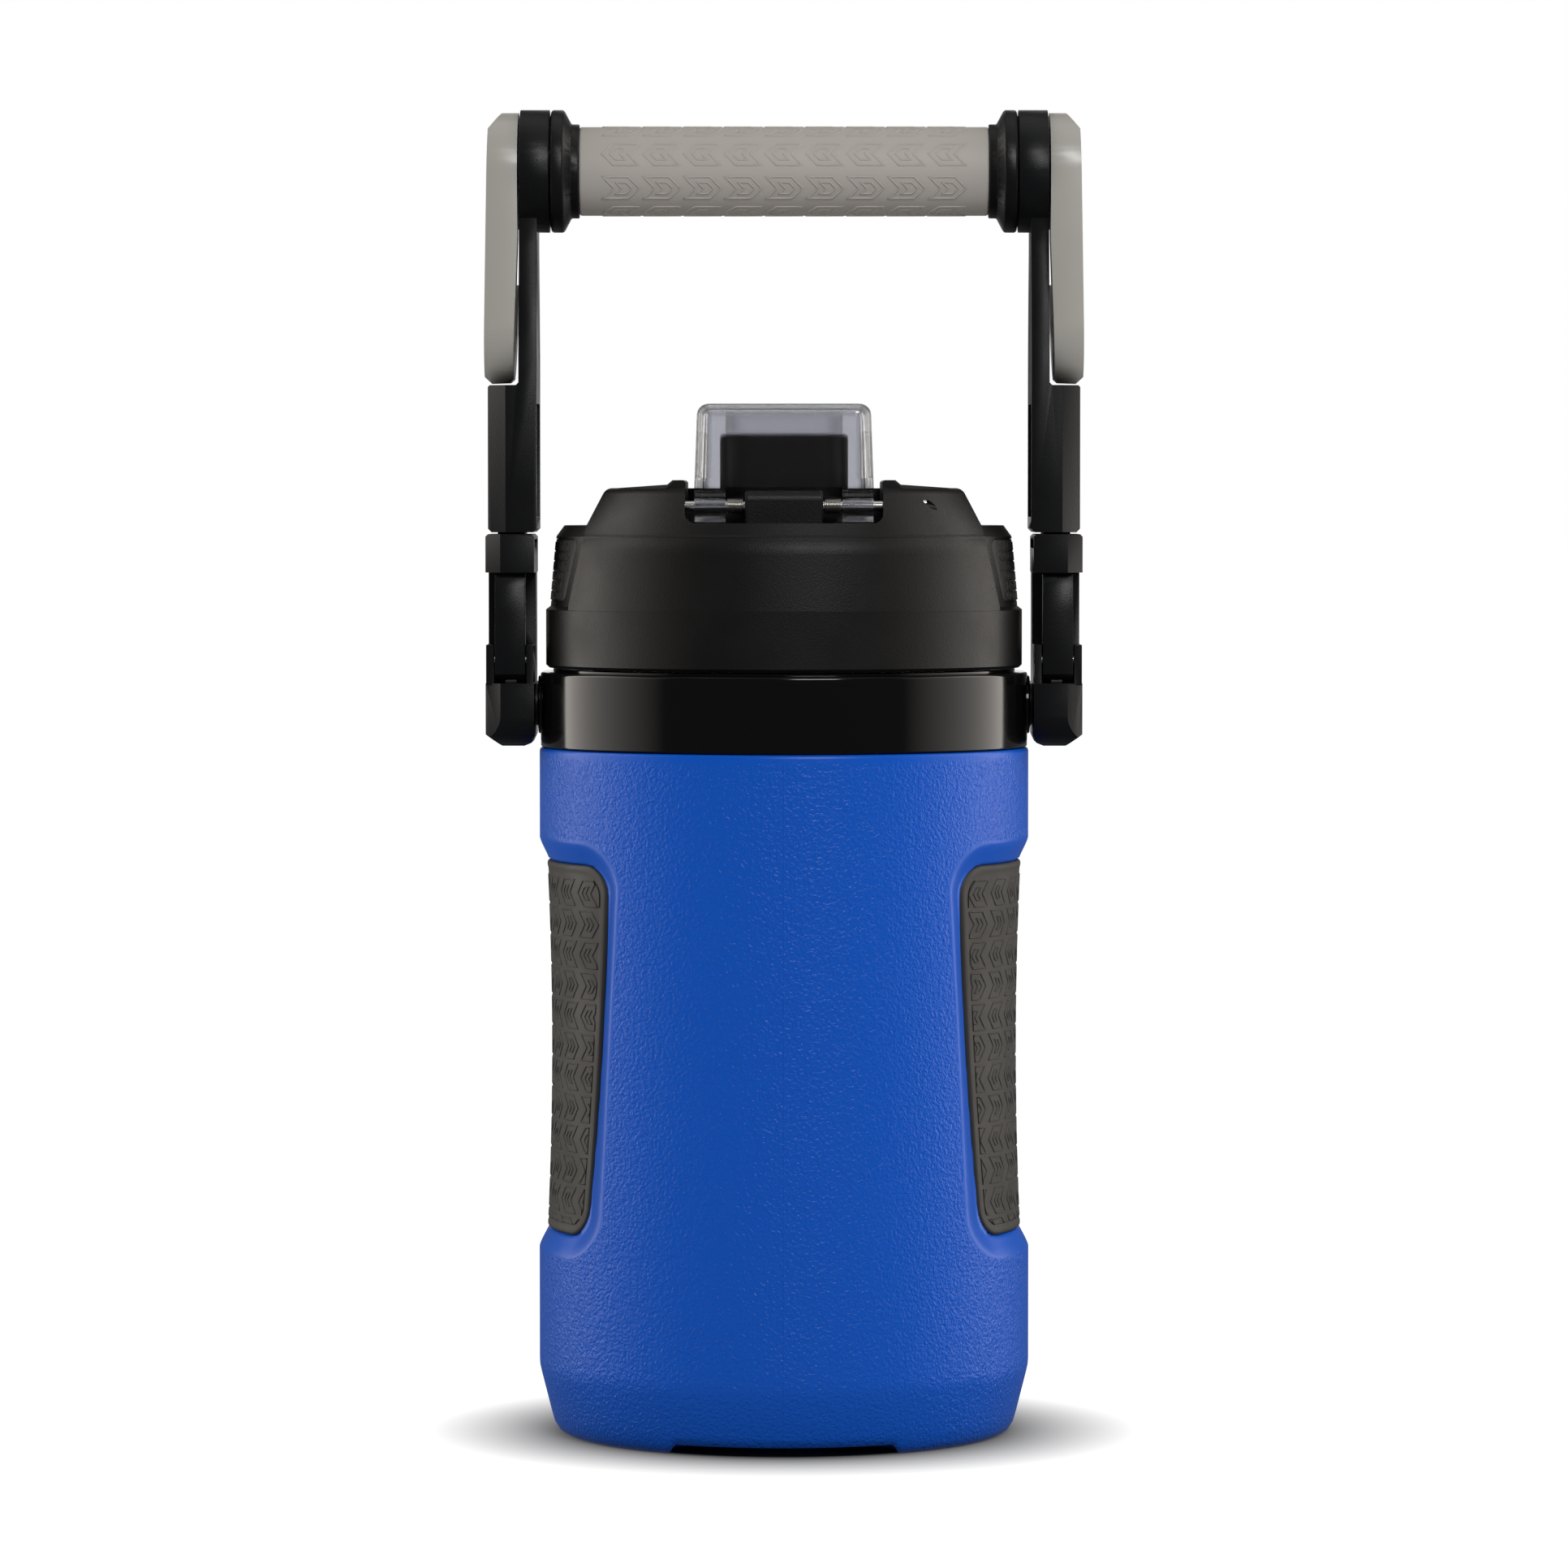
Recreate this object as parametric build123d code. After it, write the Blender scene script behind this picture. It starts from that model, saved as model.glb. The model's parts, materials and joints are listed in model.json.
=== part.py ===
from build123d import *
import os
from math import cos, radians, sin, sqrt

# Insulated half-gallon water jug with a swinging carry handle, a screw lid and a flip cap.
# Millimetres. +Z up, +X to the right arm of the handle, +Y to the drinking side (push button).
# The origin is on the ground, on the jug's axis.

# Jug body
BODY_R = 67.5
BAND_R = 67.3
FOOT_R = 60.0
FOOT_INNER_R = 47.0
BASE_RISE = 3.0
NOTCH_HALF = 29.0
BODY_TOP = 188.8
WAIST_END_R = 65.5
WAIST_MID_R = 64.0
WAIST_LOW = 56.0
WAIST_HIGH = 158.5
LIP_LOW = 51.0
LIP_HIGH = 164.0
FLOOR_R = 64.3
SCOOP_LOW_HALF = 36.8
SCOOP_HIGH_HALF = 45.1
WALL_LEAN = 0.33
WALL_REACH = 12.0
GRIP_LOW_HALF = 36.6
GRIP_HIGH_HALF = 44.1
GRIP_SKIN = 1.8
GRIP_MARGIN = 0.7
SHELL_WALL = 2.5
CAVITY_R = 64.8
CAVITY_WAIST_R = 60.4

# Liner and neck
LINER_R = 54.0
LINER_WALL = 2.0
LINER_FLOOR = 13.0
NECK_R = 50.0
NECK_OUT_R = 52.5
NECK_TOP = 224.0

# Screw thread between neck and lid, three starts
THREAD_LEAD = 12.0
THREAD_STARTS = 3
THREAD_HEIGHT = 1.2
THREAD_WIDTH = 1.5
THREAD_SPAN = 110.0

# Collar
COLLAR_R = 67.0
COLLAR_LOW = 189.0
COLLAR_TOP = 209.6
UPSTAND_IN_R = 60.0
UPSTAND_OUT_R = 63.6
UPSTAND_TOP = 210.4

# Handle pivot
PIVOT_Z = 200.4
PIVOT_R = 3.0
PIVOT_BORE_R = 3.06
YOKE_IN = 68.3
YOKE_OUT = 81.7
YOKE_HALF = 16.0

# Handle arms and grip
GRIP_Z = 346.8
GRIP_R = 12.4
GRIP_HALF = 56.1
HUB_R = 16.8
AXLE_R = 4.0
ARM_IN = 67.6
ARM_OUT = 81.0
ARM_THIN = 72.5
ARM_LOW = 247.8
SHOULDER_Z = 288.0
WINDOW_LOW = 206.5
WINDOW_HIGH = 236.8
YOKE_TOP = 247.3
SPINE_INSET = 0.2

# Gate of the snap eye
GATE_PIN_Y = -11.2
GATE_PIN_Z = 212.9
GATE_PIN_R = 1.25
GATE_IN = 70.8
GATE_OUT = 79.0

# Fold-out hook
HOOK_IN = 72.8
HOOK_OUT = 82.0
HOOK_REACH = 58.3
HOOK_R = 16.0
HOOK_THROAT_R = 5.0
TIP_RISE = 6.0

# Lid
LID_LOW = 210.7
LID_R = 65.5
LID_STEP = 227.0
LID_CREASE = 244.0
LID_TOP = 259.9
CREASE_R = 64.0
CREASE_ROUND = 8.0
RIM_R = 55.1
RIM_ROUND = 3.0
RAIL_TOP = 262.0
TAB_TOP = 249.7
LID_CAVITY_R = 58.0
LID_CAVITY_TOP = 247.0
INSERT_BORE_R = 55.0
PLATE_LOW = 226.0
PLATE_TOP = 229.0

# Flip cap and its hinge
HINGE_Y = -45.0
HINGE_Z = 255.0
HINGE_R = 1.3
CAP_HALF = 24.3
CAP_BACK = -46.0
CAP_FRONT = 18.0
CAP_LOW = 256.5
CAP_TOP = 282.6
CAP_WALL = 2.0
RECESS_HALF = 26.6
RECESS_CORNER = 2.6
HINGE_FLOOR = 250.4
CAP_FLOOR = 256.0
KNUCKLE_HALF = 10.5
EAR_IN = 15.7
EAR_OUT = 24.0

# Vent hole
VENT_R = 1.05
VENT_AT = (39.8, -42.0, 255.3)
VENT_OUTWARD = (0.97, 0.0, -0.24)

# Spout, a rounded oblong tube
SPOUT_Y = -12.0
SPOUT_X = 35.0
SPOUT_DEPTH = 20.0
SPOUT_TOP = 274.6
SPOUT_WALL = 3.0

# Push button
BUTTON_HALF = 11.0
BUTTON_LOW = 247.4
BUTTON_HIGH = 256.8


def box(x0, x1, y0, y1, z0, z1):
    """A box between two corners."""
    size = (x1 - x0, y1 - y0, z1 - z0)
    return Pos((x0 + x1) / 2, (y0 + y1) / 2, (z0 + z1) / 2) * Box(*size)


def rod_x(radius, x0, x1, y, z):
    """A cylinder along X."""
    return Pos((x0 + x1) / 2, y, z) * Rot(0, 90, 0) * Cylinder(radius, x1 - x0)


def drum(radius, z0, z1):
    """A cylinder about the jug's axis."""
    return Pos(0, 0, (z0 + z1) / 2) * Cylinder(radius, z1 - z0)


def turned(*points):
    """A closed (radius, height) outline turned about the jug's axis."""
    return revolve(Plane.XZ * make_face(Polyline(*points, close=True)), Axis.Z)


def front_prism(points, depth):
    """An (x, z) outline carried depth each way along Y."""
    return extrude(Plane.XZ * make_face(Polyline(*points, close=True)), depth, both=True)


def side_prism(points, x0, x1):
    """A (y, z) outline carried from x0 to x1."""
    face = Plane.YZ.offset(x0) * make_face(Polyline(*points, close=True))
    return extrude(face, x1 - x0)


def plan_prism(points, z0, z1):
    """An (x, y) outline carried from z0 to z1."""
    face = Plane.XY.offset(z0) * make_face(Polyline(*points, close=True))
    return extrude(face, z1 - z0)


def oblong(width, depth, corner, z0, z1, y):
    """A rounded oblong column at (0, y)."""
    return extrude(Pos(0, y, z0) * RectangleRounded(width, depth, corner), z1 - z0)


def left_of(part):
    """The same piece on the jug's left, as a mirror image."""
    return mirror(part, Plane.YZ)


# ---------------------------------------------------------------- jug body

def waist_solid(inset):
    """The waisted form that the scoops are cut down to, less an inset."""
    low = WAIST_LOW - 10
    high = WAIST_HIGH + 10
    middle = (WAIST_LOW + WAIST_HIGH) / 2
    flank = ThreePointArc(
        (WAIST_END_R + 0.3 - inset, low), (WAIST_MID_R - inset, middle), (WAIST_END_R + 0.3 - inset, high)
    )
    rest = Polyline((WAIST_END_R + 0.3 - inset, high), (0, high), (0, low), (WAIST_END_R + 0.3 - inset, low))
    return revolve(Plane.XZ * make_face(flank + rest), Axis.Z)


def flank_column(top_half, low_half, z0, z1, corner):
    """A column along X with the scoop's outline: wider at its top, with round corners."""
    outline = Polyline((-low_half, z0), (low_half, z0), (top_half, z1), (-top_half, z1), close=True)
    face = make_face(outline)
    face = fillet(face.vertices(), corner)
    return extrude(Plane.YZ.offset(30) * face, 50)


def scoop_plan(half, z):
    """Plan of the scoop at a height: a floor between two walls that lean out to the body's surface."""
    foot = sqrt(FLOOR_R ** 2 - half ** 2)
    outer = foot - WALL_LEAN * WALL_REACH
    edge = half + WALL_REACH
    points = [(outer, edge), (foot, half), (foot, -half), (outer, -edge), (90, -edge), (90, edge)]
    return Plane.XY.offset(z) * make_face(Polyline(*points, close=True))


def scoop():
    """What the moulding leaves out at the right flank, with sloping lips above and below."""
    floor = scoop_plan(SCOOP_LOW_HALF, LIP_LOW)
    walls = loft([floor, scoop_plan(SCOOP_HIGH_HALF, LIP_HIGH)], ruled=True)
    core = waist_solid(0.4)
    low_lip = turned((0, LIP_LOW - 5), (72, LIP_LOW - 5), (72, LIP_LOW), (BODY_R, LIP_LOW),
                     (WAIST_END_R - 0.4, WAIST_LOW), (0, WAIST_LOW))
    high_lip = turned((0, WAIST_HIGH), (WAIST_END_R - 0.4, WAIST_HIGH), (BAND_R, LIP_HIGH),
                      (72, LIP_HIGH), (72, LIP_HIGH + 5), (0, LIP_HIGH + 5))
    return walls - core - low_lip - high_lip


def grip_column():
    """The outline of a side grip, carried along X."""
    return flank_column(GRIP_HIGH_HALF, GRIP_LOW_HALF, WAIST_LOW + GRIP_MARGIN, WAIST_HIGH - GRIP_MARGIN, 8.0)


def side_grip():
    """Soft skin set in the right flank's scoop."""
    return (grip_column() & waist_solid(0.0)) - waist_solid(GRIP_SKIN)


def shell_body():
    """The moulding's outer form: foot ring, base chamfer, straight wall and a softened rim."""
    foot = Polyline((0, BASE_RISE), (FOOT_INNER_R, BASE_RISE), (FOOT_INNER_R + 2, 0), (FOOT_R, 0))
    edge = ThreePointArc((FOOT_R, 0), (62.9, 1.7), (64.2, 5.6))
    wall = Polyline((64.2, 5.6), (BODY_R, 18.5), (BODY_R, 120.0), (BAND_R, 165.0), (BAND_R, BODY_TOP - 1.2))
    rim = ThreePointArc((BAND_R, BODY_TOP - 1.2), (BAND_R - 0.35, BODY_TOP - 0.35), (BAND_R - 1.2, BODY_TOP))
    close = Polyline((BAND_R - 1.2, BODY_TOP), (0, BODY_TOP), (0, BASE_RISE))
    return revolve(Plane.XZ * make_face(foot + edge + wall + rim + close), Axis.Z)


def foot_notch():
    """The gap in the foot ring, front and back, with short ramps."""
    outline = [(-NOTCH_HALF - 2.5, -1), (NOTCH_HALF + 2.5, -1), (NOTCH_HALF + 2.2, 0),
               (NOTCH_HALF, BASE_RISE), (-NOTCH_HALF, BASE_RISE), (-NOTCH_HALF - 2.2, 0)]
    return front_prism(outline, BODY_R + 5)


def cavity():
    """The space inside the outer shell, open at the neck."""
    top = BODY_TOP - SHELL_WALL
    return turned((0, BASE_RISE + SHELL_WALL), (57.5, BASE_RISE + SHELL_WALL), (61.5, 8.0),
                  (CAVITY_R, 20.0), (CAVITY_R, 45.0), (CAVITY_WAIST_R, 51.5), (CAVITY_WAIST_R, 163.0),
                  (CAVITY_R, 169.0), (CAVITY_R, top), (0, top))


def outer_shell():
    """Blow-moulded outer shell."""
    shell = shell_body() - foot_notch()
    pocket = grip_column() - waist_solid(GRIP_SKIN)
    for cut in (scoop(), pocket):
        shell = shell - cut - left_of(cut)
    return shell - cavity() - drum(NECK_OUT_R + 1.5, BODY_TOP - 10, BODY_TOP + 1)


def liner_form(inner):
    """The liner's inner or outer form, as a solid of revolution."""
    grow = 0.0 if inner else LINER_WALL
    neck = NECK_R if inner else NECK_OUT_R
    floor = LINER_FLOOR - grow
    return turned((0, floor), (LINER_R + grow - 6, floor), (LINER_R + grow, floor + 6),
                  (LINER_R + grow, 177 + grow / 2), (neck, 183 + grow / 2), (neck, NECK_TOP), (0, NECK_TOP))


def thread(radius, outward, start_z, angle):
    """One start of the thread: a small section swept along a helix."""
    rise = THREAD_LEAD * THREAD_SPAN / 360
    path = Pos(0, 0, start_z) * Rot(0, 0, angle) * Helix(THREAD_LEAD, rise, radius)
    reach = THREAD_HEIGHT if outward else -THREAD_HEIGHT
    root = -0.4 if outward else 0.4
    half = THREAD_WIDTH / 2
    section = Polyline((root, -half), (reach, -half * 0.6), (reach, half * 0.6), (root, half), close=True)
    start = Plane(path @ 0, x_dir=(cos(radians(angle)), sin(radians(angle)), 0), z_dir=path % 0)
    return sweep(start * make_face(section), path=path, is_frenet=True)


def inner_liner():
    """Food-grade liner with the neck and its outside thread."""
    liner = liner_form(False) - liner_form(True)
    liner = liner - drum(NECK_R, NECK_TOP - 1, NECK_TOP + 1)
    for start in range(THREAD_STARTS):
        liner = liner + thread(NECK_OUT_R, True, 214.6, start * 360 / THREAD_STARTS)
    return liner


def insulation_foam():
    """Foam poured between the outer shell and the liner."""
    return cavity() - liner_form(False) - drum(NECK_OUT_R + 0.1, 180, NECK_TOP)


def collar_ring():
    """Glossy collar that carries the handle's pivots and covers the joint to the lid."""
    ring = turned((54.0, COLLAR_LOW), (COLLAR_R, COLLAR_LOW), (COLLAR_R, COLLAR_TOP - 0.7),
                  (COLLAR_R - 0.7, COLLAR_TOP), (53.2, COLLAR_TOP), (53.2, COLLAR_TOP - 4),
                  (62.5, COLLAR_TOP - 4), (62.5, COLLAR_LOW + 2.5), (54.0, COLLAR_LOW + 2.5))
    upstand = drum(UPSTAND_OUT_R, COLLAR_TOP - 1, UPSTAND_TOP) - drum(UPSTAND_IN_R, COLLAR_TOP - 2, UPSTAND_TOP + 1)
    pad = rod_x(8.0, 63.0, 67.6, 0, PIVOT_Z)
    ring = ring + upstand + pad + left_of(pad)
    bore = rod_x(PIVOT_R + 0.02, 55.0, 70.0, 0, PIVOT_Z) + rod_x(5.7, 55.0, 63.0, 0, PIVOT_Z)
    return ring - bore - left_of(bore)


def pivot_pin():
    """Headed steel pin that the yoke turns on."""
    return rod_x(5.5, 60.6, 62.9, 0, PIVOT_Z) + rod_x(PIVOT_R, 60.6, 78.5, 0, PIVOT_Z)


def pivot_washer():
    """Nylon washer between the collar's pad and the yoke."""
    return rod_x(5.8, 67.62, 68.2, 0, PIVOT_Z) - rod_x(PIVOT_R + 0.02, 67.0, 69.0, 0, PIVOT_Z)


# ---------------------------------------------------------------- lid

def bridge_form():
    """The lid's smooth front, top and back, between two sloping sides."""
    dome = turned((0, LID_LOW), (LID_R - 0.8, LID_LOW), (LID_R, LID_LOW + 0.8), (LID_R - 0.1, LID_STEP),
                  (CREASE_R, LID_CREASE), (RIM_R, LID_TOP), (0, LID_TOP))
    rings = dome.edges().filter_by(GeomType.CIRCLE).group_by(Axis.Z)
    dome = fillet(rings[-1], RIM_ROUND)
    rings = dome.edges().filter_by(GeomType.CIRCLE)
    dome = fillet(rings.filter_by_position(Axis.Z, LID_CREASE - 0.1, LID_CREASE + 0.1), CREASE_ROUND)
    half = [(60.0, LID_LOW), (58.5, LID_STEP + 1), (53.6, TAB_TOP), (48.3, LID_TOP)]
    outline = make_face(Polyline(*half, *[(-x, z) for x, z in reversed(half)], close=True))
    outline = fillet(outline.vertices().group_by(Axis.Y)[-1], RIM_ROUND)
    return dome & extrude(Plane.XZ * outline, BODY_R, both=True)


def skirt_form():
    """The round skirt and the two lower sides."""
    return turned((0, LID_LOW), (LID_R - 0.8, LID_LOW), (LID_R, LID_LOW + 0.8), (LID_R, LID_STEP - 0.4),
                  (64.2, LID_STEP + 0.6), (62.6, TAB_TOP - 3.0), (60.4, TAB_TOP), (0, TAB_TOP))


def rim_rail():
    """Raised rail on the right of the cap's recess, falling away outwards."""
    outline = [(RECESS_HALF, 255.0), (45.0, 255.0), (45.0, LID_TOP), (31.4, 260.8), (30.0, RAIL_TOP),
               (RECESS_HALF + 0.5, RAIL_TOP), (RECESS_HALF, RAIL_TOP - 0.5)]
    rail = Pos(0, -12.5, 0) * front_prism(outline, 31.5)
    return rail & turned((0, 250), (60.5, 250), (RIM_R - 0.4, LID_TOP - 0.6), (RIM_R - 2.4, RAIL_TOP), (0, RAIL_TOP))


def pad_column(grow):
    """The outline of a finger pad on the lid's side, carried along X."""
    outline = Polyline((-23 - grow, 229 - grow), (23 + grow, 229 - grow), (28.5 + grow, 246 + grow),
                       (-28.5 - grow, 246 + grow), close=True)
    face = make_face(outline)
    face = fillet(face.vertices(), 2.5)
    return extrude(Plane.YZ.offset(40) * face, 40)


def pad_depth(inset):
    """The lid's side surface, less an inset."""
    return turned((0, 226), (64.37 - inset, 226), (62.4 - inset, 248.1), (0, 248.1))


def finger_pad():
    """Knurled soft pad on the lid's right side."""
    return (pad_column(0) & pad_depth(0.0)) - pad_depth(1.4)


def lid_shell():
    """Outer shell of the lid, with the hinge recess, cap seat, button pocket and vent hole."""
    shell = bridge_form() + skirt_form() + rim_rail() + left_of(rim_rail())
    shell = shell - drum(LID_CAVITY_R, LID_LOW - 1, LID_CAVITY_TOP)
    shell = shell - box(-36, 36, -28, 8, LID_CAVITY_TOP - 1, 252.6)
    recess = box(-RECESS_HALF, RECESS_HALF, -70, -37.5, HINGE_FLOOR, 270)
    shell = shell - fillet(recess.edges().filter_by(Axis.Y).group_by(Axis.Z)[0], RECESS_CORNER)
    shell = shell - box(-RECESS_HALF, RECESS_HALF, -38, 20, CAP_FLOOR, 270)
    shell = shell + knuckle()
    shell = shell - rod_x(HINGE_R + 0.02, -29.5, 29.5, HINGE_Y, HINGE_Z)
    shell = shell - button_pocket()
    shell = shell - oblong(SPOUT_X + 0.1, SPOUT_DEPTH + 0.1, 8.0, 240, 270, SPOUT_Y)
    shell = shell - vent_form(VENT_R + 0.05, -4.0, 4.0)
    pads = pad_column(0.05) - pad_depth(1.45)
    return shell - pads - left_of(pads)


def knuckle():
    """Fixed middle knuckle of the cap's hinge."""
    block = box(-KNUCKLE_HALF, KNUCKLE_HALF, HINGE_Y - 4.2, HINGE_Y + 4.2, HINGE_FLOOR - 1, HINGE_Z + 4.2)
    block = fillet(block.edges().filter_by(Axis.X).group_by(Axis.Z)[-1], 2.6)
    return fillet(block.edges().filter_by(Axis.Z), 0.8)


def vent_form(radius, inner, outer):
    """A small cylinder slanting into the lid's rear shoulder, on the right, between two depths."""
    place = Plane(VENT_AT, z_dir=VENT_OUTWARD)
    return place * Pos(0, 0, (inner + outer) / 2) * Cylinder(radius, outer - inner)


def vent_bush():
    """Steel bush at the bottom of the lid's vent hole."""
    return vent_form(VENT_R, -3.9, -1.6) - vent_form(0.6, -5.0, 0.0)


def button_pocket():
    """Pocket in the lid's front for the button, its tongue and its spring."""
    pocket = box(-BUTTON_HALF - 0.3, BUTTON_HALF + 0.3, 46, 75, BUTTON_LOW - 0.3, BUTTON_HIGH + 0.3)
    tunnel = box(-5.4, 5.4, 13.5, 50, 251.4, 255.4)
    seat = box(-5.4, 5.4, 13.0, 22.0, 251.4, CAP_FLOOR + 1)
    return pocket + tunnel + seat


def lid_insert():
    """Threaded inner cup of the lid."""
    cup = turned((INSERT_BORE_R, LID_LOW + 0.4), (LID_CAVITY_R - 0.05, LID_LOW + 0.4),
                 (LID_CAVITY_R - 0.05, PLATE_TOP), (0, PLATE_TOP), (0, PLATE_LOW), (INSERT_BORE_R, PLATE_LOW))
    for start in range(THREAD_STARTS):
        cup = cup + thread(INSERT_BORE_R, False, 212.6, start * 360 / THREAD_STARTS)
    return cup - oblong(SPOUT_X + 0.1, SPOUT_DEPTH + 0.1, 8.0, 220, 235, SPOUT_Y)


def lid_foam():
    """Insulating disc between the lid's shell and its inner cup."""
    disc = drum(LID_CAVITY_R - 0.1, PLATE_TOP + 0.05, LID_CAVITY_TOP - 0.05)
    return disc - oblong(SPOUT_X + 0.2, SPOUT_DEPTH + 0.2, 8.0, 220, 255, SPOUT_Y)


def lid_gasket():
    """Silicone ring that seals the neck's rim against the lid."""
    return drum(54.6, NECK_TOP + 0.1, PLATE_LOW - 0.1) - drum(49.6, NECK_TOP - 1, PLATE_LOW + 1)


def spout():
    """Oblong drinking spout that runs down through the lid."""
    tube = oblong(SPOUT_X, SPOUT_DEPTH, 8.0, PLATE_LOW, SPOUT_TOP, SPOUT_Y)
    flange = oblong(SPOUT_X + 6, SPOUT_DEPTH + 6, 9.0, CAP_FLOOR + 0.05, 257.6, SPOUT_Y)
    tube = fillet((tube + flange).edges().group_by(Axis.Z)[-1], 1.2)
    bore = oblong(SPOUT_X - 2 * SPOUT_WALL, SPOUT_DEPTH - 2 * SPOUT_WALL, 5.0, 220, 280, SPOUT_Y)
    return tube - bore


def hinge_pin():
    """Steel pin through the cap's ears, the springs and the lid's knuckle."""
    return rod_x(HINGE_R, -29.3, 29.3, HINGE_Y, HINGE_Z)


def torsion_spring():
    """Coil that pops the cap open, as one ribbed sleeve on the pin."""
    low = KNUCKLE_HALF + 0.25
    high = EAR_IN - 0.25
    turns = 9
    pitch = (high - low) / turns
    sleeve = None
    for turn in range(turns):
        start = low + turn * pitch
        coil = rod_x(2.05, start + 0.06, start + pitch - 0.06, HINGE_Y, HINGE_Z)
        sleeve = coil if sleeve is None else sleeve + coil
    sleeve = sleeve + rod_x(1.85, low + 0.06, high - 0.06, HINGE_Y, HINGE_Z)
    return sleeve - rod_x(HINGE_R + 0.05, low - 1, high + 1, HINGE_Y, HINGE_Z)


# ---------------------------------------------------------------- flip cap

def cap_block(inset, low):
    """The cap's form less an inset, tapering slightly to its top, with round corners."""
    middle = (CAP_BACK + CAP_FRONT) / 2
    depth = CAP_FRONT - CAP_BACK - 2 * inset
    width = 2 * (CAP_HALF - inset)
    corner = 5.0 - inset
    block = extrude(Pos(0, middle, low) * RectangleRounded(width, depth, corner), CAP_TOP - inset - low,
                    taper=2.0)
    return fillet(block.edges().group_by(Axis.Z)[-1], 3.2 - inset * 0.8)


def cap_ear():
    """Right-hand ear of the cap's hinge."""
    ear = rod_x(4.3, EAR_IN, EAR_OUT, HINGE_Y, HINGE_Z)
    web = box(EAR_IN, EAR_OUT, CAP_BACK, CAP_BACK + 3.4, HINGE_Z, CAP_LOW + 6)
    return ear + web


def cap_cover():
    """Clear flip cap: a five-sided box with two hinge ears and a front catch."""
    cover = cap_block(0.0, CAP_LOW) - cap_block(CAP_WALL, CAP_LOW - 5)
    cover = cover - box(-EAR_IN, EAR_IN, CAP_BACK - 1, CAP_BACK + 4, CAP_LOW - 1, 260.2)
    cover = cover + cap_ear() + left_of(cap_ear())
    cover = cover - rod_x(HINGE_R + 0.06, -30, 30, HINGE_Y, HINGE_Z)
    catch = box(-4.5, 4.5, 14.6, 16.8, 252.0, CAP_LOW + 2)
    return cover + catch


def cap_seal():
    """Soft plug under the cap's top that closes the spout."""
    pad = oblong(SPOUT_X - 3, SPOUT_DEPTH - 3, 6.5, SPOUT_TOP + 0.3, CAP_TOP - CAP_WALL - 0.02, SPOUT_Y)
    plug = oblong(SPOUT_X - 2 * SPOUT_WALL - 6, SPOUT_DEPTH - 2 * SPOUT_WALL - 5, 3.5,
                  SPOUT_TOP - 0.8, SPOUT_TOP + 1, SPOUT_Y)
    return pad + plug


def push_button():
    """Front button, its tongue reaching back to the cap's catch."""
    face = [(0, LID_LOW), (LID_R, LID_LOW), (LID_R - 0.1, LID_STEP), (CREASE_R - 0.2, LID_CREASE),
            (RIM_R - 0.2, LID_TOP), (0, LID_TOP)]
    button = box(-BUTTON_HALF, BUTTON_HALF, 50.5, 75, BUTTON_LOW, BUTTON_HIGH) & turned(*face)
    tongue = box(-4.8, 4.8, 20.2, 51.5, 251.8, 255.0)
    return button + tongue - box(-2.0, 2.0, 49.0, 55.7, 248.0, 251.3)


def button_spring():
    """Return spring behind the button."""
    coil = Pos(0, 49.6, 249.6) * Rot(90, 0, 0) * Cylinder(1.5, 6.8)
    return coil - Pos(0, 49.6, 249.6) * Rot(90, 0, 0) * Cylinder(1.0, 9.0)


# ---------------------------------------------------------------- handle

def plan_outline(inner, outer, facet_x, facet_y):
    """Plan of an arm: square inside, with a facet on each outer corner."""
    half = YOKE_HALF
    return [(inner, -half), (facet_x, -half), (outer, -half + facet_y), (outer, half - facet_y),
            (facet_x, half), (inner, half)]


def yoke():
    """Lower link of the right arm: pivot block, spine and top block, open as a snap eye."""
    plan = plan_prism(plan_outline(YOKE_IN, YOKE_OUT, 77.5, 3.5), 189.2, YOKE_TOP)
    front = front_prism([(YOKE_IN, 192.2), (YOKE_IN + 0.9, 190.1), (YOKE_IN + 3.0, 189.2), (77.2, 189.2),
                         (YOKE_OUT, 192.5), (YOKE_OUT, 246.6), (81.0, YOKE_TOP), (69.0, YOKE_TOP),
                         (YOKE_IN, 246.6)], YOKE_HALF + 1)
    side = Polyline((-YOKE_HALF, 189.2), (YOKE_HALF, 189.2), (YOKE_HALF, 250.0), (-YOKE_HALF, 250.0),
                    close=True)
    face = make_face(side)
    face = fillet(face.vertices().group_by(Axis.Y)[0], 8.5)
    link = plan & front & extrude(Plane.YZ.offset(60) * face, 30)
    window = box(60, 90, -20, 4, WINDOW_LOW, WINDOW_HIGH)
    window = window + box(60, YOKE_IN + SPINE_INSET, 0, 20, WINDOW_LOW, WINDOW_HIGH)
    window = window + box(YOKE_OUT - SPINE_INSET, 90, 0, 20, WINDOW_LOW, WINDOW_HIGH)
    cheek = box(YOKE_IN + SPINE_INSET, 70.45, -14.0, 4.5, WINDOW_LOW - 0.5, 217.0)
    far_cheek = box(79.35, YOKE_OUT - SPINE_INSET, -14.0, 4.5, WINDOW_LOW - 0.5, 217.0)
    link = (link - window) + cheek + far_cheek
    link = link - rod_x(GATE_PIN_R + 0.02, 60, 90, GATE_PIN_Y, GATE_PIN_Z)
    link = link - rod_x(PIVOT_BORE_R, 60, 78.8, 0, PIVOT_Z)
    link = link - box(70.9, 78.5, -10.1, 10.1, 238.9, 250)
    return link - box(60, 72, -12, 12, 243.4, 245.9)


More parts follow.
